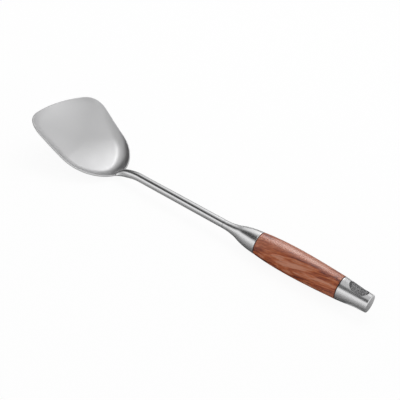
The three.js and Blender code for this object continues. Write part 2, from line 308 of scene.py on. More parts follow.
@dataclass
class NodeSheet:
    """A node tree under construction.

    Attributes:
        tree: The tree of a material, a world or a node group.
    """

    tree: bpy.types.NodeTree

    def add(self, kind: str, inputs: dict | None = None, **settings: object) -> bpy.types.Node:
        """Adds a node.

        Args:
            kind: The node's type name.
            inputs: Values or output sockets for its input sockets, by name or number.
            **settings: Values for the node's properties.

        Returns:
            The new node.
        """
        node = self.tree.nodes.new(kind)
        for name, value in settings.items():
            setattr(node, name, value)
        for key, value in (inputs or {}).items():
            self.feed(node.inputs[key], value)
        return node

    def feed(self, socket: Socket, value: object) -> None:
        """Links an output socket to an input socket, or sets the input's own value.

        Args:
            socket: The input socket.
            value: The output socket or the value.
        """
        if isinstance(value, Socket):
            self.tree.links.new(value, socket)
        else:
            socket.default_value = value

    def place(self) -> Socket:
        """Gives the Object coordinates."""
        return self.add("ShaderNodeTexCoord").outputs["Object"]

    def mapped(self, vector: Socket, **inputs: object) -> Socket:
        """Maps a vector by the Location, Rotation and Scale that are given."""
        return self.add("ShaderNodeMapping", {"Vector": vector, **inputs}).outputs[0]

    def length(self, vector: Socket) -> Socket:
        """Gives a vector's length."""
        return self.add("ShaderNodeVectorMath", {0: vector}, operation="LENGTH").outputs["Value"]

    def math(self, operation: str, first: object, second: object) -> Socket:
        """Adds a Math node and gives its output."""
        return self.add("ShaderNodeMath", {0: first, 1: second}, operation=operation).outputs[0]

    def remap(self, value: Socket, low: float, high: float, to_low: float, to_high: float) -> Socket:
        """Maps one range of a value to another, smoothly.

        Args:
            value: The socket that gives the value.
            low: The value that gives to_low.
            high: The value that gives to_high.
            to_low: The result at low.
            to_high: The result at high.

        Returns:
            The socket of the result.
        """
        inputs = {"Value": value, 1: low, 2: high, 3: to_low, 4: to_high}
        return self.add("ShaderNodeMapRange", inputs, interpolation_type="SMOOTHSTEP").outputs[0]

    def noise(self, vector: Socket, values: Noise) -> Socket:
        """Adds a noise texture.

        Args:
            vector: The socket of its vector.
            values: Its values.

        Returns:
            The socket of its value.
        """
        inputs = {
            "Vector": vector,
            "Scale": values.scale,
            "Detail": values.detail,
            "Roughness": values.roughness,
            "Distortion": values.distortion,
        }
        return self.add("ShaderNodeTexNoise", inputs).outputs[0]

    def mean_noise(self, vector: Socket, layers: tuple[Noise, ...]) -> Socket:
        """Adds several noise textures and their weighted mean.

        Args:
            vector: The socket of their vector.
            layers: Their values and weights.

        Returns:
            The socket of the mean.
        """
        total = 0.0
        for layer in layers:
            share = self.math("MULTIPLY", self.noise(vector, layer), layer.weight)
            total = self.math("ADD", total, share)
        return self.math("DIVIDE", total, sum(layer.weight for layer in layers))

    def blend(self, share: object, first: object, second: object) -> Socket:
        """Mixes two colours.

        Args:
            share: The mix's factor.
            first: The first colour.
            second: The second colour.

        Returns:
            The socket of the mixed colour.
        """
        node = self.add("ShaderNodeMix", data_type="RGBA")
        # The sockets of a Mix node's other types have the same names, so these go by number.
        for socket, value in zip((node.inputs[0], node.inputs[6], node.inputs[7]), (share, first, second)):
            self.feed(socket, value)
        return node.outputs[2]

    def ramp(self, value: Socket, stops: tuple[tuple[float, Rgb], ...]) -> Socket:
        """Adds a colour ramp.

        Args:
            value: The socket that the ramp reads.
            stops: Places from 0 to 1 and their colours.

        Returns:
            The socket of the colour.
        """
        node = self.add("ShaderNodeValToRGB", {0: value})
        elements = node.color_ramp.elements
        while len(elements) < len(stops):
            elements.new(0.5)
        for element, (place, colour) in zip(elements, stops):
            element.position = place
            element.color = (*colour, 1.0)
        return node.outputs[0]

    def bump(self, height: Socket, depth: float) -> Socket:
        """Adds a Bump node of a depth in metres and gives its normal."""
        return self.add("ShaderNodeBump", {"Height": height, "Strength": 1.0, "Distance": depth}).outputs[0]


def start_material(name: str) -> tuple[bpy.types.Material, NodeSheet]:
    """Starts a material with an empty node tree.

    Args:
        name: The material's name.

    Returns:
        The material and the sheet of its tree.
    """
    material = bpy.data.materials.new(name)
    material.use_nodes = True
    material.node_tree.nodes.clear()
    return material, NodeSheet(material.node_tree)


def start_group(name: str, inputs: dict[str, str], outputs: dict[str, str]) -> NodeSheet:
    """Starts a shader node group with named sockets.

    Args:
        name: The group's name.
        inputs: The names and socket types of its inputs.
        outputs: The names and socket types of its outputs.

    Returns:
        The sheet of its tree.
    """
    tree = bpy.data.node_groups.new(name, "ShaderNodeTree")
    for sockets, side in ((inputs, "INPUT"), (outputs, "OUTPUT")):
        for label, kind in sockets.items():
            tree.interface.new_socket(name=label, in_out=side, socket_type=kind)
    return NodeSheet(tree)


@dataclass(frozen=True)
class BrushedLines:
    """Fine lines that a brushing wheel leaves, stretched along the X of the pattern's vector.

    Attributes:
        name: The group's name.
        lines: The noises of the finer and the coarser lines.
        stretch_share: How little the pattern changes along the lines.
        wear: The noise of the slow cloud of wear.
    """

    name: str = "brushed_lines"
    lines: tuple[Noise, ...] = (Noise(2600.0, 3.0), Noise(420.0, 3.0))
    stretch_share: float = 0.03
    wear: Noise = Noise(38.0, 4.0)

    def build(self) -> bpy.types.NodeTree:
        """Builds the group.

        Returns:
            The group, which puts out the lines' height and the cloud of wear.
        """
        sheet = start_group(
            self.name,
            {"Vector": "NodeSocketVector"},
            {"Height": "NodeSocketFloat", "Wear": "NodeSocketFloat"},
        )
        vector = sheet.add("NodeGroupInput").outputs[0]
        drawn_out = sheet.mapped(vector, Scale=(self.stretch_share, 1.0, 1.0))
        height = sheet.mean_noise(drawn_out, self.lines)
        sheet.add("NodeGroupOutput", {0: height, 1: sheet.noise(vector, self.wear)})
        return sheet.tree


@dataclass(frozen=True)
class SteelFinish:
    """Brushed stainless steel.

    Attributes:
        name: The material's name.
        colour: Its base colour.
        smooth_roughness: The least roughness over the cloud of wear.
        worn_roughness: The most roughness over the cloud of wear.
        lines_turn: The turn about Z that lays the brushing lines, in degrees.
        lines_depth: How deep the lines are, in metres.
        lines_scale: The scale of the lines' pattern along X, Y and Z.
        wear_range: The values of the cloud that give the least and the most roughness.
    """

    name: str
    colour: Rgb
    smooth_roughness: float
    worn_roughness: float
    lines_turn: float
    lines_depth: float
    lines_scale: tuple[float, float, float] = (1.0, 1.0, 1.0)
    wear_range: tuple[float, float] = (0.3, 0.7)

    def build(self, lines: bpy.types.NodeTree) -> bpy.types.Material:
        """Builds the material.

        Args:
            lines: The node group of brushed lines.

        Returns:
            The material.
        """
        material, sheet = start_material(self.name)
        turn = (0.0, 0.0, math.radians(self.lines_turn))
        laid = sheet.mapped(sheet.place(), Rotation=turn, Scale=self.lines_scale)
        brushed = sheet.add("ShaderNodeGroup", node_tree=lines)
        sheet.feed(brushed.inputs["Vector"], laid)
        low, high = self.smooth_roughness, self.worn_roughness
        shader = sheet.add("ShaderNodeBsdfPrincipled", {
            "Base Color": (*self.colour, 1.0),
            "Metallic": 1.0,
            "Roughness": sheet.remap(brushed.outputs["Wear"], *self.wear_range, low, high),
            "Normal": sheet.bump(brushed.outputs["Height"], self.lines_depth),
        })
        sheet.add("ShaderNodeOutputMaterial", {0: shader.outputs[0]})
        return material


@dataclass(frozen=True)
class WoodFinish:
    """Reddish hardwood with long wavy figure and short pores, under a satin oil finish.

    Attributes:
        name: The material's name.
        grain_lean: The angle between the grain and the handle's axis, in degrees.
        grain_rise: The way across the handle in which the grain climbs towards the cap.
        stretch_share: How little the figure changes along the grain.
        figure: The noises of the figure: its waves, its broad bands and its thin streaks.
        figure_stops: The figure's values and their colours.
        patches: The noise of the paler patches.
        patch_range: The values between which a patch fades in.
        patch_cover: How far a patch covers the figure.
        patch_colour: The patches' colour.
        pore_stretch_share: How little the pores change along the grain.
        pores: The noise of the pores.
        pore_range: The values between which a pore fades out.
        pore_cover: How far a pore darkens the wood.
        pore_colour: The pores' colour.
        joint_shade_width: How far in from its ends the wood is darkened: painted shade in the joints with
            the steel.
        joint_shade_cover: How far that painted shade darkens it.
        joint_shade_colour: The colour of that painted shade.
        relief_share: The figure's share in the relief, against the pores' depth of 1.
        relief_depth: The depth of a pore, in metres.
        figure_range: The figure's values that give the two roughnesses.
        roughnesses: The roughness of the dark and of the pale figure.
        specular: The strength of the wood's own reflection.
        coat: The weight of the satin coat.
        coat_roughness: The roughness of that coat.
    """

    name: str = "reddish_hardwood"
    grain_lean: float = 11.0
    grain_rise: tuple[float, float, float] = (0.0, 0.54, 0.84)
    stretch_share: float = 0.11
    figure: tuple[Noise, ...] = (
        Noise(290.0, 5.0, roughness=0.55, distortion=0.9),
        Noise(290.0 / 3, 2.0, weight=0.8),
        Noise(754.0, 3.0, distortion=0.6, weight=0.4),
    )
    figure_stops: tuple[tuple[float, Rgb], ...] = (
        (0.42, (0.105, 0.018, 0.008)),
        (0.47, (0.250, 0.047, 0.014)),
        (0.50, (0.340, 0.078, 0.022)),
        (0.53, (0.410, 0.110, 0.035)),
        (0.58, (0.480, 0.195, 0.115)),
    )
    patches: Noise = Noise(72.5, 1.0)
    patch_range: tuple[float, float] = (0.46, 0.62)
    patch_cover: float = 0.4
    patch_colour: Rgb = (0.370, 0.145, 0.100)
    pore_stretch_share: float = 0.07
    pores: Noise = Noise(1500.0, 2.0)
    pore_range: tuple[float, float] = (0.34, 0.44)
    pore_cover: float = 0.4
    pore_colour: Rgb = (0.075, 0.020, 0.012)
    # Painted shade in the joints with the steel, at both ends of the wood.
    joint_shade_width: float = 0.9 * MM
    joint_shade_cover: float = 0.85
    joint_shade_colour: Rgb = (0.035, 0.012, 0.008)
    relief_share: float = 0.4
    relief_depth: float = 0.002 * MM
    figure_range: tuple[float, float] = (0.3, 0.7)
    roughnesses: tuple[float, float] = (0.44, 0.34)
    specular: float = 0.4
    coat: float = 0.08
    coat_roughness: float = 0.32

    def build(self, axis: Vector, ends: tuple[float, float]) -> bpy.types.Material:
        """Builds the material.

        Args:
            axis: The handle's direction in the frame.
            ends: Where the wood starts and ends along that direction, from the frame's origin.

        Returns:
            The material.
        """
        material, sheet = start_material(self.name)
        place = sheet.place()
        grain = sheet.mapped(place, Rotation=self.grain_turn(axis))
        drawn_out = sheet.mapped(grain, Scale=(self.stretch_share, 1.0, 1.0))
        figure = sheet.mean_noise(drawn_out, self.figure)
        colour = sheet.ramp(figure, self.figure_stops)
        patch = sheet.remap(sheet.noise(drawn_out, self.patches), *self.patch_range, 0.0, self.patch_cover)
        colour = sheet.blend(patch, colour, (*self.patch_colour, 1.0))
        thin = sheet.mapped(grain, Scale=(self.pore_stretch_share, 1.0, 1.0))
        pore = sheet.remap(sheet.noise(thin, self.pores), *self.pore_range, 1.0, 0.0)
        pore_share = sheet.math("MULTIPLY", pore, self.pore_cover)
        colour = sheet.blend(pore_share, colour, (*self.pore_colour, 1.0))
        # The wood is darkened towards both ends: painted shade in the joints with the steel.
        joint_shade_share = sheet.math("MULTIPLY", self.joint_shade_mask(sheet, place, axis, ends), self.joint_shade_cover)
        colour = sheet.blend(joint_shade_share, colour, (*self.joint_shade_colour, 1.0))
        relief = sheet.math("SUBTRACT", sheet.math("MULTIPLY", figure, self.relief_share), pore)
        shader = sheet.add("ShaderNodeBsdfPrincipled", {
            "Base Color": colour,
            "Roughness": sheet.remap(figure, *self.figure_range, *self.roughnesses),
            "Specular IOR Level": self.specular,
            "Coat Weight": self.coat,
            "Coat Roughness": self.coat_roughness,
            "Normal": sheet.bump(relief, self.relief_depth),
        })
        sheet.add("ShaderNodeOutputMaterial", {0: shader.outputs[0]})
        return material

    def grain_turn(self, axis: Vector) -> tuple[float, ...]:
        """Gives the turn that lays the grain along the X of the pattern's vector.

        Args:
            axis: The handle's direction in the frame.

        Returns:
            The turn's X, Y and Z angles in radians.
        """
        lean = math.radians(self.grain_lean)
        grain_axis = axis * math.cos(lean) + Vector(self.grain_rise).normalized() * math.sin(lean)
        return tuple(grain_axis.rotation_difference(Vector((1, 0, 0))).to_euler())

    def joint_shade_mask(
        self, sheet: NodeSheet, place: Socket, axis: Vector, ends: tuple[float, float]
    ) -> Socket:
        """Marks the wood's two ends, where the joints' shade is painted.

        Args:
            sheet: The sheet of the material's tree.
            place: The socket of the Object coordinates.
            axis: The handle's direction in the frame.
            ends: Where the wood starts and ends along that direction.

        Returns:
            The socket of a mask that is 1 at both ends.
        """
        dot = sheet.add("ShaderNodeVectorMath", {0: place, 1: tuple(axis)}, operation="DOT_PRODUCT")
        along = dot.outputs["Value"]
        front, back = ends
        front_end = sheet.remap(along, front, front + self.joint_shade_width, 1.0, 0.0)
        back_end = sheet.remap(along, back - self.joint_shade_width, back, 0.0, 1.0)
        return sheet.math("MAXIMUM", front_end, back_end)


# Head: the blade and the shank


@dataclass
class Blade:
    """The dished blade, in its own frame: X from the heel's rim towards the shank, and Z up from
    the middle of the front edge.

    Attributes:
        length: From the middle of the front to the heel's rim.
        front_width: The width at the front corners, before they are rounded.
        shoulder_width: The width where the round heel starts.
        heel_length: How long the round heel is.
        front_bow: How far the front edge bows out.
        corner_reach: How far the corners' rounding reaches.
        heel_draw_in: The power that draws the heel's ellipse in.
        sheet: The sheet's thickness.
        heel_rise: How high the heel's wall curls up.
        heel_power: The power of the length with which the rim climbs towards the heel.
        wall_run: How far in the wall starts.
        dish_depth: How far the floor falls from the front edge.
        fall_run: The length over which the floor falls.
        levelling_share: The share of that length, before and after its end, that levels off.
        ramp_rise: How high the ramp climbs towards the heel.
        ramp_run: How far in the ramp starts.
        side_rise: How high the sides are over the middle.
        side_wall_rise: How much of that height the curled wall takes.
        side_wall_fade: The length over which the side walls fade out towards the front.
        corner_run_share: How much of the wall's run is left round the front corners.
        corner_zone: How far from the front the run reaches its full length.
        near_rim_share: The share of the wall's run at which the rim's own slope is measured.
        edge_share: How far the edge's rounding reaches, as a share of the thickness.
        edge_segments: The segments of that rounding.
        front_steps: Steps along half of the front edge.
        corner_steps: Steps round a front corner.
        side_steps: Steps along a side.
        heel_steps: Steps round half of the heel.
        wall_rings: Rings between the rim and the wall's foot.
        floor_rings: Rings between the wall's foot and the floor's middle.
    """

    length: float = 97.4 * MM
    front_width: float = 105.6 * MM
    shoulder_width: float = 91.6 * MM
    heel_length: float = 38.0 * MM
    front_bow: float = 8.3 * MM
    corner_reach: float = 20.0 * MM
    heel_draw_in: float = 1.08
    sheet: float = 1.5 * MM
    heel_rise: float = 10.0 * MM
    heel_power: int = 3
    wall_run: float = 12.6 * MM
    dish_depth: float = 2.6 * MM
    fall_run: float = 60.0 * MM
    levelling_share: float = 0.25
    ramp_rise: float = 5.0 * MM
    ramp_run: float = 50.0 * MM
    side_rise: float = 3.1 * MM
    side_wall_rise: float = 1.2 * MM
    side_wall_fade: float = 40.0 * MM
    corner_run_share: float = 0.55
    corner_zone: float = 30.0 * MM
    near_rim_share: float = 0.99
    edge_share: float = 0.47
    edge_segments: int = 5
    front_steps: int = 18
    corner_steps: int = 14
    side_steps: int = 14
    heel_steps: int = 34
    wall_rings: int = 22
    floor_rings: int = 12

    def half_outline(self) -> list[Vector]:
        """Gives half of the outline, seen from above.

        Returns:
            The points from the front's middle, round a corner and along a side, to the heel's.
        """
        half_front = self.front_width / 2
        half_shoulder = self.shoulder_width / 2

        def front_edge(y: float) -> Vector:
            """Gives the front edge's point at a distance from the middle."""
            return Vector((-self.length + self.front_bow * (y / half_front) ** 2, y))

        corner = front_edge(half_front)
        shoulder = Vector((-self.heel_length, half_shoulder))
        side_way = (shoulder - corner).normalized()
        side_slope = side_way.y / side_way.x
        round_start = front_edge(half_front - self.corner_reach)
        round_end = corner + side_way * self.corner_reach
        front_slope = 2 * self.front_bow * round_start.y / half_front**2
        # The knee is where the front edge's tangent at the rounding's start meets the side's line.
        reach = corner.y - round_start.y + side_slope * (round_start.x - corner.x)
        reach /= 1 - side_slope * front_slope
        knee = (round_start.x + front_slope * reach, round_start.y + reach)

        outline = [front_edge(round_start.y * i / self.front_steps) for i in range(self.front_steps)]
        corner_points = rounded_corner(tuple(round_start), knee, tuple(round_end), self.corner_steps)
        outline += [Vector(point) for point in corner_points]
        outline += [round_end.lerp(shoulder, i / self.side_steps) for i in range(1, self.side_steps)]
        for i in range(self.heel_steps + 1):
            turn = math.pi / 2 * i / self.heel_steps
            x = -self.heel_length * (1 - math.sin(turn))
            width = half_shoulder + side_slope * (x + self.heel_length)
            y = math.cos(turn) ** self.heel_draw_in * width if i < self.heel_steps else 0.0
            outline.append(Vector((x, y)))
        return outline

    def outline(self) -> list[Vector]:
        """Gives the whole outline, once round."""
        half = self.half_outline()
        return half + [Vector((p.x, -p.y)) for p in reversed(half[1:-1])]

    def outward_ways(self, outline: list[Vector]) -> list[Vector]:
        """Gives the outline's outward directions.

        Args:
            outline: The outline.

        Returns:
            A direction for each of its points.
        """
        count = len(outline)
        ways = []
        for i in range(count):
            along = outline[(i + 1) % count] - outline[i - 1]
            ways.append(Vector((-along.y, along.x)).normalized())
        return ways

    def floor_height(self, x: float, y: float) -> float:
        """Gives the floor's height, before the ramp and the wall stand on it.

        Args:
            x: The place along the blade.
            y: The place across the blade.

        Returns:
            The height over the middle of the front edge.
        """
        from_front = x + self.length
        level = self.levelling_share
        share = min(from_front / self.fall_run, 1 + level)
        # The fall is straight up to the share 1 - level, and levels off on a parabola to 1 + level.
        fall = share - max(0.0, share - 1 + level) ** 2 / (4 * level)
        side_wall = self.side_wall_rise * smooth_step(from_front / self.side_wall_fade)
        hollow = (self.side_rise - side_wall) * (2 * y / self.front_width) ** 2
        return hollow - self.dish_depth * fall

    def wall_height(self, rise: float, run: float, inset: float) -> float:
        """Gives the curled wall's height, an arc that starts level with the floor.

        Args:
            rise: The wall's full height there.
            run: The wall's full run there.
            inset: The distance from the rim.

        Returns:
            The height over the floor and the ramp.
        """
        reach = run - inset
        if rise < LEVEL_RISE or reach <= 0:
            return 0.0
        radius = (run**2 + rise**2) / (2 * rise)
        return radius - math.sqrt(radius**2 - reach**2)

    def run_at(self, x: float) -> float:
        """Gives the wall's run, which is shorter round the front corners, where it is level."""
        full_share = smooth_step((x + self.length) / self.corner_zone)
        return self.wall_run * mix(self.corner_run_share, 1.0, full_share)

    def sheet_height(self, place: Vector, rim: Vector, inset: float) -> float:
        """Gives the height of the sheet's middle surface.

        Args:
            place: The place on the blade, seen from above.
            rim: The point of the outline that it lies in from.
            inset: The distance from the middle surface's rim.

        Returns:
            The height over the middle of the front edge.
        """
        heel_share = max(0.0, (rim.x + self.length) / self.length) ** self.heel_power
        edge = self.heel_rise * heel_share + self.side_rise * (2 * rim.y / self.front_width) ** 2
        ramp_rise = self.ramp_rise * heel_share
        wall_rise = edge - ramp_rise - self.floor_height(rim.x, rim.y)
        ramp = ramp_rise * max(0.0, 1 - inset / self.ramp_run) ** 2
        wall = self.wall_height(wall_rise, self.run_at(rim.x), inset)
        return self.floor_height(place.x, place.y) + ramp + wall

    def wall_ring(self, outline: list[Vector], ways: list[Vector], share: float) -> list[Vector]:
        """Gives a ring of the middle surface on the wall.

        Args:
            outline: The outline.
            ways: Its outward directions.
            share: The share of the wall's run between its foot and the ring, 1 at the rim.

        Returns:
            The ring's points.
        """
        ring = []
        for point, away in zip(outline, ways):
            inset = self.run_at(point.x) * (1 - share)
            place = point - away * (self.sheet / 2 + inset)
            ring.append(Vector((place.x, place.y, self.sheet_height(place, point, inset))))
        return ring

    def floor_ring(self, outline: list[Vector], foot: list[Vector], share: float) -> list[Vector]:
        """Gives a ring of the middle surface on the floor.

        Args:
            outline: The outline.
            foot: The ring at the wall's foot.
            share: The share of the way from the wall's foot to the floor's middle.

        Returns:
            The ring's points.
        """
        centre = Vector((-self.length / 2, 0))
        ring = []
        for rim, point in zip(outline, foot):
            place = point.to_2d().lerp(centre, share)
            inset = self.run_at(rim.x) + (point.to_2d() - place).length
            ring.append(Vector((place.x, place.y, self.sheet_height(place, rim, inset))))
        return ring

    def mid_surface(self) -> list[list[Vector]]:
        """Gives the sheet's middle surface.

        Returns:
            Its rings, from the sheet's edge to the floor's middle.
        """
        outline = self.outline()
        ways = self.outward_ways(outline)
        walls = [self.wall_ring(outline, ways, 1 - i / self.wall_rings) for i in range(self.wall_rings + 1)]
        near_rim = self.wall_ring(outline, ways, self.near_rim_share)
        edge = [rim + (rim - near).normalized() * self.sheet / 2 for rim, near in zip(walls[0], near_rim)]
        shares = [i / self.floor_rings for i in range(1, self.floor_rings + 1)]
        return [edge, *walls, *(self.floor_ring(outline, walls[-1], share) for share in shares)]

    def build(self) -> bpy.types.Object:
        """Builds the blade from a grid that is wrapped round the outline and thickened.

        Returns:
            The blade, in its own frame.
        """
        rings = self.mid_surface()
        columns, rows = len(rings[0]), len(rings) - 1
        select_nothing()
        bpy.ops.mesh.primitive_grid_add(x_subdivisions=columns, y_subdivisions=rows, size=1.0)
        piece = bpy.context.object
        piece.name = "blade_sheet"

        def wrap(flat: Vector) -> Vector:
            """Takes a grid point to its place on the sheet."""
            return rings[round((flat.y + 0.5) * rows)][round((flat.x + 0.5) * columns) % columns]

        reshape(piece, wrap)
        clean_shell(piece)
        apply_modifier(piece, "SOLIDIFY", thickness=self.sheet, offset=0.0, use_even_offset=True)
        self.round_edge(piece)
        clean_shell(piece)
        smooth_shading(piece, BENT_SHARP_FROM)
        return piece

    def round_edge(self, piece: bpy.types.Object) -> None:
        """Rounds the sheet's edge all round.

        Args:
            piece: The thickened blade.
        """
        make_active(piece)
        bpy.ops.object.mode_set(mode="EDIT")
        bpy.ops.mesh.select_mode(type="EDGE")
        bpy.ops.mesh.select_all(action="DESELECT")
        bpy.ops.mesh.edges_select_sharp(sharpness=math.radians(SHEET_EDGE_FROM))
        reach = self.edge_share * self.sheet
        bpy.ops.mesh.bevel(offset=reach, segments=self.edge_segments, profile=0.5, clamp_overlap=False)
        bpy.ops.mesh.select_mode(type="VERT")
        bpy.ops.object.mode_set(mode="OBJECT")


@dataclass
class Shank:
    """The round shank, in the blade's frame: a root that flows out of the heel's wall, a bend
    and a straight stretch to the bolster.

    Attributes:
        blade: The blade that it is welded to.
        handle_rise: The angle between the blade's floor and the handle, in degrees.
        bend_length: The length of the bend behind the heel's rim.
        straight: The length of the straight stretch.
        diameter: The bar's thickness by the neck.
        back_diameter: The bar's thickness by the bolster.
        root_length: How far the root reaches down the heel's wall.
        root_width: The root's greatest width.
        rim_height: The bar's height over the sheet's middle at the rim.
        rim_depth: The bar's depth under the sheet's middle at the rim.
        rim_width_share: The root's width at the rim, as a share of its greatest width.
        neck_length: The stretch behind the rim over which the bar becomes round.
        joint_reach: How far the bar closes the clearance to the bolster.
        round_bell: The power that gives a section its round half.
        rim_bell: The power that gives the section at the rim its upper half.
        tip_bell: The power that gives the section at the root's tip its upper half.
        tip_roundness: The power that rounds the root's tip, seen from above.
        tip_slope: The power with which the root thins out towards its tip.
        skirt_share: How far the root's side stands over the sheet's middle, in thicknesses.
        sunk_share: How far the root's underside lies under the sheet's middle, in thicknesses.
        neck_power: The power with which the neck's width and upper half become round.
        neck_bell_power: The power with which the shape of its upper half does.
        neck_depth_power: The power with which its lower half does.
        swell_reach: The share of the root over which it swells to its full width.
        skirt_reach: The share of the root over which its side comes up over the sheet's middle.
        sunk_reach: The share of the root over which its underside thins out.
        lean_reach: The share of the root over which its underside comes to follow the round wall.
        tip_bunching: The power that bunches the rings at the root's tip.
        walk_steps: Steps of the walk down the wall.
        slope_step: The distance over which the wall's slope is measured.
        sides: Sides of the bar's section.
        root_steps: Rings along the root.
        neck_steps: Rings along the neck.
        bend_steps: Rings along the rest of the bend.
        straight_steps: Rings along the straight stretch.
    """

    blade: Blade
    handle_rise: float = 30.0
    bend_length: float = 27.7 * MM
    straight: float = 100.1 * MM
    diameter: float = 8.4 * MM
    back_diameter: float = 8.5 * MM
    root_length: float = 11.0 * MM
    root_width: float = 16.5 * MM
    rim_height: float = 3.3 * MM
    rim_depth: float = 1.3 * MM
    rim_width_share: float = 0.76
    neck_length: float = 14.0 * MM
    joint_reach: float = 0.3 * MM
    round_bell: float = 0.5
    rim_bell: float = 0.8
    tip_bell: float = 1.5
    tip_roundness: float = 2.4
    tip_slope: float = 0.8
    skirt_share: float = 0.42
    sunk_share: float = 0.3
    neck_power: float = 3.0
    neck_bell_power: float = 2.0
    neck_depth_power: float = 1.5
    swell_reach: float = 0.5
    skirt_reach: float = 1 / 3
    sunk_reach: float = 0.2
    lean_reach: float = 0.25
    tip_bunching: float = 1.6
    walk_steps: int = 40
    slope_step: float = 0.02 * MM
    sides: int = 72
    root_steps: int = 26
    neck_steps: int = 14
    bend_steps: int = 22
    straight_steps: int = 24

    def wall_point(self, inset: float) -> Vector:
        """Gives the point in the middle of the heel's wall at a distance from its rim."""
        x = -self.blade.sheet / 2 - inset
        return Vector((x, 0, self.blade.sheet_height(Vector((x, 0)), Vector((0, 0)), inset)))

    def wall_slope(self, inset: float) -> tuple[Vector, float]:
        """Gives the place and the slope in the middle of the heel's wall.

        Args:
            inset: The distance from the middle surface's rim.

        Returns:
            The point and the slope's angle there.
        """
        near, far = self.wall_point(inset), self.wall_point(inset + self.slope_step)
        return near, math.atan2(near.z - far.z, near.x - far.x)

    def middle_line(self, distance: float) -> tuple[Vector, float]:
        """Gives the bar's middle line.

        Args:
            distance: The distance from the heel's rim, less than zero on the wall.

        Returns:
            The point and the line's slope there.
        """
        if distance <= 0:
            inset = 0.0
            for _ in range(self.walk_steps):
                inset -= distance / self.walk_steps * math.cos(self.wall_slope(inset)[1])
            return self.wall_slope(inset)
        rim, wall_angle = self.wall_slope(0.0)
        bend_radius = self.bend_length / (wall_angle - math.radians(self.handle_rise))
        bent = min(distance, self.bend_length)
        angle = wall_angle - bent / bend_radius
        straight = distance - bent
        step = Vector((
            bend_radius * (math.sin(wall_angle) - math.sin(angle)) + straight * math.cos(angle), 0,
            bend_radius * (math.cos(angle) - math.cos(wall_angle)) + straight * math.sin(angle),
        ))
        return rim + step, angle

    def bar_section(self, distance: float, across: float, rise: float) -> PlanePoint:
        """Gives a point of the round bar's section.

        Args:
            distance: The distance from the heel's rim along the bar.
            across: The cosine of the angle round the bar.
            rise: The sine of that angle.

        Returns:
            How far it lies to the side of and above the middle line.
        """
        share = (distance - self.neck_length) / (self.bend_length + self.straight - self.neck_length)
        radius = mix(self.diameter / 2, self.back_diameter / 2, share)
        return radius * across, radius * rise

    def neck_section(self, distance: float, across: float, rise: float) -> PlanePoint:
        """Gives a point of the neck's section, which becomes round behind the rim.

        Args:
            distance: The distance from the heel's rim along the bar.
            across: The cosine of the angle round the bar.
            rise: The sine of that angle.

        Returns:
            How far it lies to the side of and above the middle line.
        """
        radius = self.diameter / 2
        left = 1 - distance / self.neck_length
        flatness = left**self.neck_power
        width = mix(radius, self.root_width / 2 * self.rim_width_share, flatness)
        if rise > 0:
            bell = mix(self.round_bell, self.rim_bell, left**self.neck_bell_power)
            lift = mix(radius, self.rim_height, flatness) * (1 - across**2) ** bell
        else:
            depth = mix(radius, self.rim_depth, left**self.neck_depth_power)
            lift = -depth * (1 - across**2) ** self.round_bell
        return width * across, lift

    def root_section(self, distance: float, slope: float, across: float, rise: float) -> PlanePoint:
        """Gives a point of the root's section, which lies on the heel's wall.

        Args:
            distance: The distance from the heel's rim along the bar, less than zero.
            slope: The wall's slope there.
            across: The cosine of the angle round the bar.
            rise: The sine of that angle.

        Returns:
            How far it lies to the side of and above the middle line.
        """
        share = -distance / self.root_length
        sheet = self.blade.sheet
        swell = mix(self.rim_width_share, 1.0, smooth_step(share / self.swell_reach))
        width = self.root_width / 2 * swell * math.sqrt(max(0.0, 1 - share**self.tip_roundness))
        y = width * across
        # Beside the middle the round rim lies farther forward, so the wall under the root is higher.
        recede = self.blade.heel_length * (1 - math.sqrt(1 - (2 * y / self.blade.shoulder_width) ** 2))
        lean = math.sin(slope) * recede
        if rise > 0:
            height = mix(self.rim_height, 0.0, share**self.tip_slope)
            bell = mix(self.rim_bell, self.tip_bell, smooth_step(share))
            skirt = self.skirt_share * sheet * smooth_step(share / self.skirt_reach)
            lift = lean + skirt + max(0.0, height - skirt) * (1 - across**2) ** bell
        else:
            depth = mix(self.rim_depth, self.sunk_share * sheet, smooth_step(share / self.sunk_reach))
            lift = lean * smooth_step(share / self.lean_reach) - depth * (1 - across**2) ** self.round_bell
        return y, lift

    def section_point(self, distance: float, side: float) -> Vector:
        """Gives a point of the bar's skin.

        Args:
            distance: The distance from the heel's rim along the bar.
            side: The angle round the bar, a quarter turn at its top.

        Returns:
            The point in the blade's frame.
        """
        place, slope = self.middle_line(distance)
        across, rise = math.cos(side), math.sin(side)
        if distance >= self.neck_length:
            y, lift = self.bar_section(distance, across, rise)
        elif distance >= 0:
            y, lift = self.neck_section(distance, across, rise)
        else:
            y, lift = self.root_section(distance, slope, across, rise)
        return place + Vector((-math.sin(slope) * lift, y, math.cos(slope) * lift))

    def stations(self) -> list[float]:
        """Gives the places of the bar's rings.

        Returns:
            Their distances from the heel's rim along the bar.
        """
        tip_shares = [(i / self.root_steps) ** self.tip_bunching for i in range(self.root_steps)]
        root = [-self.root_length * (1 - share) for share in tip_shares]
        neck = [self.neck_length * i / self.neck_steps for i in range(self.neck_steps)]
        rest = self.bend_length - self.neck_length
        bend = [self.neck_length + rest * i / self.bend_steps for i in range(self.bend_steps)]
        full = self.straight + self.joint_reach
        bar = [self.bend_length + full * i / self.straight_steps for i in range(self.straight_steps + 1)]
        return root + neck + bend + bar

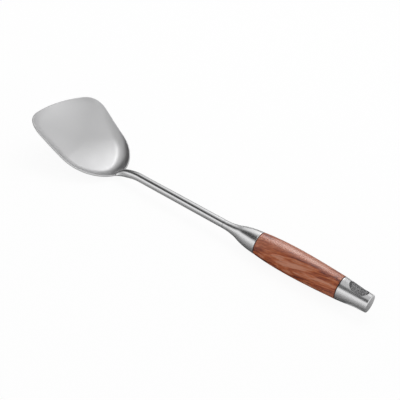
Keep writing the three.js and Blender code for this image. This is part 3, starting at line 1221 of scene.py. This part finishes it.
    def build(self) -> bpy.types.Object:
        """Builds the shank from a straight bar that is laid along the middle line.

        Returns:
            The shank, in the blade's frame.
        """
        stations = self.stations()
        radius = self.diameter / 2
        select_nothing()
        bpy.ops.mesh.primitive_circle_add(
            vertices=self.sides, radius=radius, fill_type="NGON", rotation=(0, math.pi / 2, 0),
        )
        piece = bpy.context.object
        piece.name = "shank_bar"
        bpy.ops.object.mode_set(mode="EDIT")
        bpy.ops.mesh.select_all(action="SELECT")
        bpy.ops.transform.translate(value=(stations[0], 0, 0))
        for here, there in zip(stations, stations[1:]):
            bpy.ops.mesh.extrude_region_move(TRANSFORM_OT_translate={"value": (there - here, 0, 0)})
        bpy.ops.object.mode_set(mode="OBJECT")
        place_mesh(piece, piece.matrix_world.copy())

        def lay(straight: Vector) -> Vector:
            """Takes a point of the straight bar to its place on the bent one."""
            return self.section_point(straight.x, math.atan2(straight.z / radius, straight.y / radius))

        reshape(piece, lay)
        clean_shell(piece)
        smooth_shading(piece, BENT_SHARP_FROM)
        return piece


@dataclass
class Head:
    """The spatula's head: the blade and the shank, which share the blade's frame.

    Attributes:
        handle_axis: The handle's direction in the frame.
        blade: The blade.
        shank: The shank that belongs to the blade.
    """

    handle_axis: Vector
    blade: Blade = field(default_factory=Blade)
    shank: Shank = field(init=False)

    def __post_init__(self) -> None:
        """Makes the shank that belongs to the blade."""
        self.shank = Shank(self.blade)

    def place(self, blade: bpy.types.Object) -> Matrix:
        """Finds where the blade's frame lies, from the box of the blade's CAD node.

        Args:
            blade: The blade, still in its own frame.

        Returns:
            The matrix from the blade's frame to the part's.
        """
        pitch = math.radians(self.shank.handle_rise) - math.asin(self.handle_axis.z)
        turn = Matrix.Rotation(pitch, 4, "Y")
        points = [turn @ vertex.co for vertex in blade.data.vertices]
        low = Vector(tuple(min(point[i] for point in points) for i in range(3)))
        high = Vector(tuple(max(point[i] for point in points) for i in range(3)))
        node_low, node_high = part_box("blade")
        fit = min(1.0, *((node_high[i] - node_low[i]) / (high[i] - low[i]) for i in range(3)))
        shift = (node_low + node_high - (low + high) * fit) / 2
        return Matrix.Translation((shift.x, 0, shift.z)) @ turn @ Matrix.Scale(fit, 4)

    def build(self, satin: bpy.types.Material, polished: bpy.types.Material) -> None:
        """Builds, places and dresses both pieces.

        Args:
            satin: The blade's material.
            polished: The shank's material.
        """
        blade = self.blade.build()
        shank = self.shank.build()
        place = self.place(blade)
        place_mesh(blade, place)
        place_mesh(shank, place)
        finish_piece(blade, "blade", Slot.SATIN_STEEL, satin)
        finish_piece(shank, "shank", Slot.POLISHED_STEEL, polished)


# Handle: the bolster, the tang, the grip and the end cap


def node_radius(node: str) -> float:
    """Gives a turned CAD node's greatest radius, from its box."""
    low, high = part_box(node)
    return (high.y - low.y) / 2


@dataclass
class Handle:
    """The handle, turned about its own axis. Places along the axis count from the cap's end.

    Attributes:
        end: The middle of the cap's flat end, in the frame.
        axis: The handle's direction, towards the cap.
        gap: The clearance between neighbouring pieces.
        joint_chamfer: The rounding at each wooden joint.
        joint_steps: The steps of that rounding.
        shank_radius: The bolster's radius at the shank.
        bolster_length: The length of the bolster's flare.
        tenon_radius: The radius of both tenons.
        tenon_length: The length of the bolster's tenon.
        cap_tenon_length: The depth of the grip's counterbore for the cap's tenon.
        grip_length: The grip's length.
        cap_length: The cap's length without its tenon.
        cap_edge: The rounding of the cap's flat end.
        cap_edge_steps: The steps of that rounding.
        flare_shares: Shares of the bolster's flare at shares of its length.
        belly_skew: The power that moves the grip's belly forwards.
        cap_taper: The power of the cap's taper.
        end_radius: The cap's radius at its end.
        hole_front_wall: From the cap's front to the hanging hole.
        hole_back_wall: From the hanging hole to the cap's end.
        hole_width: The hanging hole's width.
        hole_sides: Sides of the hanging hole's round ends.
        steps: Steps of a full turn.
        profile_steps: Steps along a piece's side.
        cap_back: The place of the cap's end.
        cap_front: The place of the cap's front.
        grip_back: The place of the grip's back.
        grip_front: The place of the grip's front.
        bolster_back: The place of the bolster's back.
        bolster_front: The place of the bolster's front.
        joint_radius: The radius at both wooden joints.
        belly_radius: The grip's greatest radius.
    """

    end: Vector
    axis: Vector
    gap: float = 0.3 * MM
    joint_chamfer: float = 0.4 * MM
    joint_steps: int = 3
    shank_radius: float = 4.25 * MM
    bolster_length: float = 39.0 * MM
    tenon_radius: float = 6.0 * MM
    tenon_length: float = 6.0 * MM
    cap_tenon_length: float = 5.0 * MM
    grip_length: float = 84.8 * MM
    cap_length: float = 29.1 * MM
    cap_edge: float = 0.8 * MM
    cap_edge_steps: int = 5
    flare_shares: tuple[PlanePoint, ...] = (
        (0, 0), (0.16, 0.05), (0.36, 0.25), (0.56, 0.6), (0.78, 0.86), (1, 1),
    )
    belly_skew: float = 0.8
    cap_taper: float = 1.25
    end_radius: float = 8.5 * MM
    hole_front_wall: float = 6.0 * MM
    hole_back_wall: float = 4.2 * MM
    hole_width: float = 13.3 * MM
    hole_sides: int = 96
    steps: int = 112
    profile_steps: int = 40
    cap_back: float = 0.0
    cap_front: float = field(init=False)
    grip_back: float = field(init=False)
    grip_front: float = field(init=False)
    bolster_back: float = field(init=False)
    bolster_front: float = field(init=False)
    joint_radius: float = field(init=False)
    belly_radius: float = field(init=False)

    def __post_init__(self) -> None:
        """Works out the places along the axis and the radii."""
        self.cap_front = self.cap_back - self.cap_length
        self.grip_back = self.cap_front - self.gap
        self.grip_front = self.grip_back - self.grip_length
        self.bolster_back = self.grip_front - self.gap
        self.bolster_front = self.bolster_back - self.bolster_length
        self.joint_radius = node_radius("bolster")
        self.belly_radius = node_radius("grip")

    def place(self) -> Matrix:
        """Gives the matrix from the handle's own axis to the frame."""
        turn = Vector((1, 0, 0)).rotation_difference(self.axis).to_matrix().to_4x4()
        return Matrix.Translation(self.end) @ turn

    def wood_ends(self) -> tuple[float, float]:
        """Gives where the wood starts and ends along the axis, from the frame's origin."""
        start = self.end.dot(self.axis)
        return start + self.grip_front, start + self.grip_back

    def joint_rounding(self, side_end: PlanePoint, face: float) -> list[PlanePoint]:
        """Rounds the edge of a wooden joint, from the side's end to the face."""
        return rounded_end(side_end, face, self.joint_chamfer, self.joint_steps)

    def bolster(self) -> bpy.types.Object:
        """Builds the bolster's flare and its tenon.

        Returns:
            The bolster, along the X axis.
        """
        front, back, tenon = self.bolster_front, self.bolster_back, self.tenon_radius
        side = side_line(
            front, back - self.joint_chamfer, self.profile_steps,
            lambda share: mix(self.shank_radius, self.joint_radius, self.flare(share)),
        )
        tenon_back = back + self.tenon_length
        profile = [(front, 0), *side, *self.joint_rounding(side[-1], back)]
        profile += [(back, tenon), (tenon_back, tenon), (tenon_back, 0)]
        return turned("bolster_flare", profile, self.steps)

    def flare(self, share: float) -> float:
        """Gives the bolster's flare on a smooth curve through its shares.

        Args:
            share: The share of the bolster's length.

        Returns:
            The share of the flare there.
        """
        shares = self.flare_shares
        last = len(shares) - 1
        k = next(i for i in range(last) if share <= shares[i + 1][0])
        before, start, end, after = (shares[min(max(k + i, 0), last)] for i in (-1, 0, 1, 2))
        run = end[0] - start[0]
        start_slope = (end[1] - before[1]) / (end[0] - before[0])
        end_slope = (after[1] - start[1]) / (after[0] - start[0])
        t = (share - start[0]) / run
        value = (2 * t**3 - 3 * t**2 + 1) * start[1] + (3 * t**2 - 2 * t**3) * end[1]
        return value + run * ((t**3 - 2 * t**2 + t) * start_slope + (t**3 - t**2) * end_slope)

    def grip(self) -> bpy.types.Object:
        """Builds the wooden grip, with a counterbore for the tenon at each end.

        Returns:
            The grip, along the X axis.
        """
        front, back, bore = self.grip_front, self.grip_back, self.tenon_radius + self.gap
        swell = self.belly_radius - self.joint_radius
        side = side_line(
            front + self.joint_chamfer, back - self.joint_chamfer, self.profile_steps,
            lambda share: self.joint_radius + swell * math.sin(math.pi * share**self.belly_skew),
        )
        front_floor, back_floor = front + self.tenon_length, back - self.cap_tenon_length
        profile = [(front_floor, 0), (front_floor, bore), (front, bore)]
        profile += [*reversed(self.joint_rounding(side[0], front)), *side]
        profile += self.joint_rounding(side[-1], back)
        profile += [(back, bore), (back_floor, bore), (back_floor, 0)]
        return turned("grip_wood", profile, self.steps)

    def cap(self) -> bpy.types.Object:
        """Builds the end cap, with its tenon and the hanging hole through it.

        Returns:
            The cap, along the X axis.
        """
        front, back, tenon = self.cap_front, self.cap_back, self.tenon_radius
        side = side_line(
            front + self.joint_chamfer, back - self.cap_edge, self.profile_steps,
            lambda share: mix(self.end_radius, self.joint_radius, (1 - share) ** self.cap_taper),
        )
        tenon_front = front - self.cap_tenon_length + self.gap
        profile = [(tenon_front, 0), (tenon_front, tenon), (front, tenon)]
        profile += [*reversed(self.joint_rounding(side[0], front)), *side]
        profile += [*rounded_end(side[-1], back, self.cap_edge, self.cap_edge_steps), (back, 0)]
        piece = turned("cap_steel", profile, self.steps)
        cutter = self.hole_cutter()
        apply_modifier(piece, "BOOLEAN", object=cutter, operation="DIFFERENCE", solver="EXACT")
        bpy.data.objects.remove(cutter)
        return piece

    def hole_cutter(self) -> bpy.types.Object:
        """Builds the oblong bar that cuts the hanging hole.

        Returns:
            The bar, across the X axis.
        """
        length = self.cap_length - self.hole_front_wall - self.hole_back_wall
        radius = self.hole_width / 2
        middle = self.cap_front + self.hole_front_wall + length / 2
        half_straight = length / 2 - radius
        select_nothing()
        bpy.ops.mesh.primitive_cylinder_add(
            vertices=self.hole_sides, radius=radius, depth=4 * self.joint_radius, location=(middle, 0, 0),
        )
        cutter = bpy.context.object
        place_mesh(cutter, cutter.matrix_world.copy())

        def lengthen(point: Vector) -> Vector:
            """Moves a point of the round bar away from its middle, unless it lies there.

            Args:
                point: The point.

            Returns:
                Its place on the oblong bar.
            """
            beside = point.x - middle
            if abs(beside) < MIDDLE_REACH:
                return point
            return point + Vector((math.copysign(half_straight, beside), 0, 0))

        reshape(cutter, lengthen)
        return cutter

    def build(
        self, polished: bpy.types.Material, wood: bpy.types.Material, stud: bpy.types.Material
    ) -> None:
        """Builds, places and dresses the handle's pieces.

        Args:
            polished: The material of the bolster and the cap.
            wood: The grip's material.
            stud: The tang's material.
        """
        place = self.place()
        for piece, node, slot, material in (
            (self.bolster(), "bolster", Slot.POLISHED_STEEL, polished),
            (self.grip(), "grip", Slot.HARDWOOD, wood),
            (self.cap(), "end_cap", Slot.POLISHED_STEEL, polished),
        ):
            place_mesh(piece, place)
            smooth_shading(piece, TURNED_SHARP_FROM)
            finish_piece(piece, node, slot, material)
        tang = frame["nodes"]["tang"]
        tang.data.materials.clear()
        tang.data.materials.append(stud)
        log.info("tang keeps its CAD shape")


# Studio: floor, light and camera


def direction(azimuth: float, elevation: float) -> Vector:
    """Gives a direction from the object.

    Args:
        azimuth: Its azimuth in degrees, 0 towards -Y and 90 towards +X.
        elevation: Its elevation in degrees.

    Returns:
        The unit vector.
    """
    a, e = math.radians(azimuth), math.radians(elevation)
    return Vector((math.sin(a) * math.cos(e), -math.cos(a) * math.cos(e), math.sin(e)))


@dataclass(frozen=True)
class ReflectorCard:
    """A glowing card round the table, seen only in the polished pieces as a painted reflection.

    Attributes:
        name: Its name.
        azimuths: The azimuths of its two sides, in degrees.
        elevations: The elevations of its lower and upper edge, in degrees.
        shade: How bright it looks, where 1 is white.
        fades: How wide its west, east, lower and upper edge fade out, in degrees.
        centre: The point that it is bent round.
        radius: Its distance from that point.
        least_fade: The least fade, as a share of the card.
        columns: Steps of its grid from side to side.
        rows: Steps of its grid from edge to edge.
    """

    name: str
    azimuths: tuple[float, float]
    elevations: tuple[float, float]
    shade: float
    fades: tuple[float, float, float, float]
    centre: tuple[float, float, float] = (0.0, 0.0, 0.0)
    radius: float = 2.5
    least_fade: float = 0.001
    columns: int = 24
    rows: int = 12

    def build(self) -> None:
        """Builds the card as a grid that is bent round the object."""
        select_nothing()
        bpy.ops.mesh.primitive_grid_add(x_subdivisions=self.columns, y_subdivisions=self.rows, size=1.0)
        card = bpy.context.object
        card.name = self.name
        reshape(card, lambda flat: Vector(self.centre) + self.radius * direction(
            mix(*self.azimuths, flat.x + 0.5), mix(*self.elevations, flat.y + 0.5),
        ))
        card.data.materials.append(self.material())
        card.visible_camera = False
        card.visible_diffuse = False
        card.visible_transmission = False
        card.visible_shadow = False

    def material(self) -> bpy.types.Material:
        """Builds the card's material, which fades out at its edges.

        Returns:
            The material.
        """
        material, sheet = start_material(self.name)
        flat = sheet.add("ShaderNodeTexCoord").outputs["UV"]
        shares = sheet.add("ShaderNodeSeparateXYZ", {0: flat}).outputs
        cover = 1.0
        for axis, (low, high) in enumerate((self.azimuths, self.elevations)):
            sides = (shares[axis], sheet.math("SUBTRACT", 1.0, shares[axis]))
            for inwards, fade in zip(sides, self.fades[2 * axis:]):
                reach = max(fade / (high - low), self.least_fade)
                cover = sheet.math("MULTIPLY", cover, sheet.remap(inwards, 0.0, reach, 0.0, 1.0))
        clear = sheet.add("ShaderNodeBsdfTransparent")
        grey = sheet.add("ShaderNodeEmission", {"Strength": self.shade})
        mixed = sheet.add("ShaderNodeMixShader", {0: cover, 1: clear.outputs[0], 2: grey.outputs[0]})
        sheet.add("ShaderNodeOutputMaterial", {0: mixed.outputs[0]})
        return material


@dataclass(frozen=True)
class Softbox:
    """A square area lamp that faces the object.

    Attributes:
        name: Its name.
        azimuth: Its azimuth from the object, in degrees.
        elevation: Its elevation, in degrees.
        distance: Its distance from the object.
        size: Its side.
        brightness: How bright its face looks, where 1 is white.
        mirrored_by: The piece that alone mirrors the lamp and gets no other light from it, if any.
    """

    name: str
    azimuth: float
    elevation: float
    distance: float
    size: float
    brightness: float
    mirrored_by: str = ""

    def build(self, aim: Vector) -> None:
        """Builds the lamp.

        Args:
            aim: The point that it faces.
        """
        data = bpy.data.lights.new(self.name, "AREA")
        data.shape = "SQUARE"
        data.size = self.size
        # An area lamp's face looks as bright as its energy, divided by pi and by its area.
        data.energy = self.brightness * math.pi * self.size**2
        lamp = bpy.data.objects.new(self.name, data)
        bpy.context.scene.collection.objects.link(lamp)
        way = direction(self.azimuth, self.elevation)
        lamp.location = aim + way * self.distance
        lamp.rotation_mode = "QUATERNION"
        lamp.rotation_quaternion = (-way).to_track_quat("-Z", "Y")
        lamp.visible_glossy = bool(self.mirrored_by)
        if self.mirrored_by:
            lamp.visible_diffuse = False
            only = bpy.data.collections.new(self.name)
            only.objects.link(bpy.data.objects[self.mirrored_by])
            lamp.light_linking.receiver_collection = only


@dataclass
class Studio:
    """A pale studio with soft lamps, grey cards and the photograph's camera.

    Attributes:
        azimuth: The camera's azimuth in degrees, 0 looking along +Y.
        elevation: Its elevation in degrees.
        roll: How far the camera is turned about its own axis, in degrees.
        distance: From the aim point's plane to the camera.
        aim: The point that the camera was fitted about.
        offset: How far that point lies right of and above the picture's middle.
        pixels_per_metre: The picture's scale in the aim point's plane.
        picture: The picture's width in pixels.
        sensor: The camera's sensor width in millimetres.
        clip_range: The nearest and the farthest distance that the camera shows.
        world_level: How bright the world is as a light.
        floor_size: The floor's side.
        floor_drop: How far the floor lies under the object, so that their faces don't mix.
        floor_shade: How pale the floor is as a matt surface.
        floor_glow: How far the floor's white is its own where the camera sees it.
        mirrored_white: How bright the floor is mirrored away from the object.
        mirrored_middle: The place along X round which the mirrored floor's painted shadow is darkest.
        mirrored_stretch: How much less the mirrored floor changes along X than across it.
        mirrored_reach: How far from the object the floor is mirrored in full white.
        mirrored_power: The power of the distance with which the mirrored floor gets lighter.
        painted_hole_light: The place along X of the painted pool of light under the hanging hole, and its
            reach.
        painted_hole_light_core: The share of that reach in which the painted light is full.
        cards: The cards that paint reflections in the polished pieces.
        lamps: The lamps.
    """

    azimuth: float = 28.405
    elevation: float = 29.399
    roll: float = 13.854
    distance: float = 850.0 * MM
    aim: Vector = field(default_factory=lambda: Vector((0, 0, 15.0 * MM)))
    offset: tuple[float, float] = (-1.630 * MM, -6.685 * MM)
    pixels_per_metre: float = 1068.1
    picture: int = 400
    sensor: float = 36.0
    clip_range: tuple[float, float] = (0.01, 100.0)
    world_level: float = 0.7
    floor_size: float = 24.0
    floor_drop: float = 0.05 * MM
    floor_shade: float = 0.94
    floor_glow: float = 0.93
    mirrored_white: float = 0.9
    mirrored_middle: float = 120.0 * MM
    mirrored_stretch: float = 0.15
    mirrored_reach: float = 112.0 * MM
    mirrored_power: float = 0.55
    # A painted pool of light on the mirrored floor under the hanging hole.
    painted_hole_light: tuple[float, float] = (172.0 * MM, 13.0 * MM)
    painted_hole_light_core: float = 0.4
    cards: tuple[ReflectorCard, ...] = (
        ReflectorCard("dark_card", (-130, 30), (20, 70), shade=0.07, fades=(55, 25, 14, 12)),
        ReflectorCard("back_card", (-225, -172), (12, 76), shade=0.56, fades=(10, 10, 14, 14)),
        ReflectorCard(
            "bright_card", (-190, -154), (32, 76), shade=3.0, fades=(11, 30, 16, 14),
            centre=(-0.14, 0, 0.02), radius=1.0,
        ),
        ReflectorCard(
            "ceiling_card", (-180, 180), (58, 90), shade=0.6, fades=(0, 0, 14, 0), radius=2.9,
        ),
        ReflectorCard(
            "horizon_card", (-205, -130), (2, 29), shade=0.25, fades=(8, 12, 4, 9),
            centre=(0.05, 0, 0), radius=0.3,
        ),
        ReflectorCard(
            "blade_side_card", (-188, -60), (-2, 64), shade=0.05, fades=(58, 20, 24, 28),
            centre=(-0.14, 0, 0.02), radius=0.3,
        ),
    )
    lamps: tuple[Softbox, ...] = (
        Softbox("key_softbox", -162, 58, distance=1.3, size=0.8, brightness=2.4),
        Softbox("front_softbox", -28, 4, distance=1.6, size=0.7, brightness=1.1),
        Softbox(
            "grip_softbox", -146, 58, distance=1.3, size=0.85, brightness=7.0, mirrored_by="grip_wood",
        ),
    )

    def build(self) -> None:
        """Builds the camera, the floor, the world, the cards and the lamps."""
        self.camera()
        self.floor()
        self.world()
        for card in self.cards:
            card.build()
        for lamp in self.lamps:
            lamp.build(self.aim)
        bpy.context.scene.view_settings.view_transform = "Standard"
        log.info("studio has %d cards and %d lamps", len(self.cards), len(self.lamps))

    def camera(self) -> None:
        """Builds the camera at the photograph's viewing angle."""
        back = direction(self.azimuth, self.elevation)
        level_right = Vector((0, 0, 1)).cross(back).normalized()
        level_up = back.cross(level_right)
        roll = math.radians(self.roll)
        right = level_right * math.cos(roll) + level_up * math.sin(roll)
        up = back.cross(right)
        place = self.aim - right * self.offset[0] - up * self.offset[1] + back * self.distance
        data = bpy.data.cameras.new("photo_camera")
        data.sensor_width = self.sensor
        data.lens = self.pixels_per_metre * self.distance / self.picture * self.sensor
        data.clip_start, data.clip_end = self.clip_range
        camera = bpy.data.objects.new("photo_camera", data)
        bpy.context.scene.collection.objects.link(camera)
        turn = Matrix((right, up, back)).transposed()
        camera.matrix_world = Matrix.Translation(place) @ turn.to_4x4()
        bpy.context.scene.camera = camera

    def floor(self) -> None:
        """Builds the pale floor, which the camera sees white under the object's soft shadow."""
        select_nothing()
        bpy.ops.mesh.primitive_plane_add(size=self.floor_size, location=(0, 0, -self.floor_drop))
        floor = bpy.context.object
        floor.name = "floor"
        material, sheet = start_material("pale_floor")
        path = sheet.add("ShaderNodeLightPath")
        white = (self.floor_shade, self.floor_shade, self.floor_shade, 1.0)
        # Mirrored, the floor shows a painted shadow round the object and a painted pool of light under the
        # hole.
        shade = sheet.blend(path.outputs["Is Glossy Ray"], white, self.mirrored_floor_painted_shade(sheet))
        matt = sheet.add("ShaderNodeBsdfDiffuse", {"Color": shade})
        glow = sheet.add("ShaderNodeEmission", {"Color": (1.0, 1.0, 1.0, 1.0), "Strength": 1.0})
        share = sheet.math("MULTIPLY", path.outputs["Is Camera Ray"], self.floor_glow)
        mixed = sheet.add("ShaderNodeMixShader", {0: share, 1: matt.outputs[0], 2: glow.outputs[0]})
        sheet.add("ShaderNodeOutputMaterial", {0: mixed.outputs[0]})
        floor.data.materials.append(material)

    def mirrored_floor_painted_shade(self, sheet: NodeSheet) -> Socket:
        """Paints a shadow on the floor as the polished pieces mirror it, dark round the object.

        Args:
            sheet: The sheet of the floor's material.

        Returns:
            The socket of the shade, which is white away from the object and under the hole, where a pool of
            light is painted.
        """
        place = sheet.place()
        shift = -self.mirrored_stretch * self.mirrored_middle
        flat = sheet.mapped(place, Location=(shift, 0.0, 0.0), Scale=(self.mirrored_stretch, 1.0, 0.0))
        share = sheet.math("DIVIDE", sheet.length(flat), self.mirrored_reach)
        lighter = sheet.math("POWER", share, self.mirrored_power)
        # A painted pool of light under the hanging hole.
        spot, reach = self.painted_hole_light
        beside = sheet.length(sheet.mapped(place, Location=(-spot, 0.0, 0.0)))
        painted_pool = sheet.remap(beside, self.painted_hole_light_core * reach, reach, self.mirrored_white, 0.0)
        return sheet.math("MAXIMUM", sheet.math("MINIMUM", lighter, self.mirrored_white), painted_pool)

    def world(self) -> None:
        """Builds the world, white where it is seen or mirrored and dimmer as a light."""
        world = bpy.data.worlds.new("studio")
        world.use_nodes = True
        world.node_tree.nodes.clear()
        sheet = NodeSheet(world.node_tree)
        path = sheet.add("ShaderNodeLightPath")
        seen = sheet.math("MAXIMUM", path.outputs["Is Camera Ray"], path.outputs["Is Glossy Ray"])
        seen = sheet.math("MAXIMUM", seen, path.outputs["Is Transmission Ray"])
        more = sheet.math("MULTIPLY", seen, 1 - self.world_level)
        strength = sheet.math("ADD", more, self.world_level)
        background = sheet.add("ShaderNodeBackground", {"Color": (1, 1, 1, 1), "Strength": strength})
        sheet.add("ShaderNodeOutputWorld", {0: background.outputs[0]})
        bpy.context.scene.world = world


def main() -> None:
    """Builds the spatula and the studio."""
    logging.basicConfig(level=logging.INFO, format="%(name)s: %(message)s")
    mount = frame["record"]["mounts"][0]
    axis = Vector(mount["axis"]).normalized()
    lines = BrushedLines().build()
    satin = SteelFinish(
        "blade_satin", (0.62, 0.62, 0.625), smooth_roughness=0.30, worn_roughness=0.36,
        lines_turn=0.0, lines_depth=0.004 * MM,
    ).build(lines)
    bright = SteelFinish(
        "rod_polish", (0.74, 0.74, 0.745), smooth_roughness=0.15, worn_roughness=0.20,
        lines_turn=90.0, lines_depth=0.003 * MM,
    ).build(lines)
    plain = SteelFinish(
        "plain_turned", (0.50, 0.50, 0.51), smooth_roughness=0.38, worn_roughness=0.45,
        lines_turn=90.0, lines_depth=0.004 * MM,
    ).build(lines)
    turned_lines = BrushedLines("turned_lines", (Noise(1100.0, 3.0), Noise(480.0, 3.0))).build()
    turned_steel = SteelFinish(
        "turned_polish", (0.74, 0.74, 0.745), smooth_roughness=0.21, worn_roughness=0.26,
        lines_turn=90.0, lines_depth=0.03 * MM, lines_scale=(1.0, 1.0, 0.03),
    ).build(turned_lines)

    Head(axis).build(satin, bright)
    handle = Handle(Vector(mount["pos_m"]), axis)
    handle.build(turned_steel, WoodFinish().build(axis, handle.wood_ends()), plain)
    Studio().build()


if __name__ == "__main__":
    main()
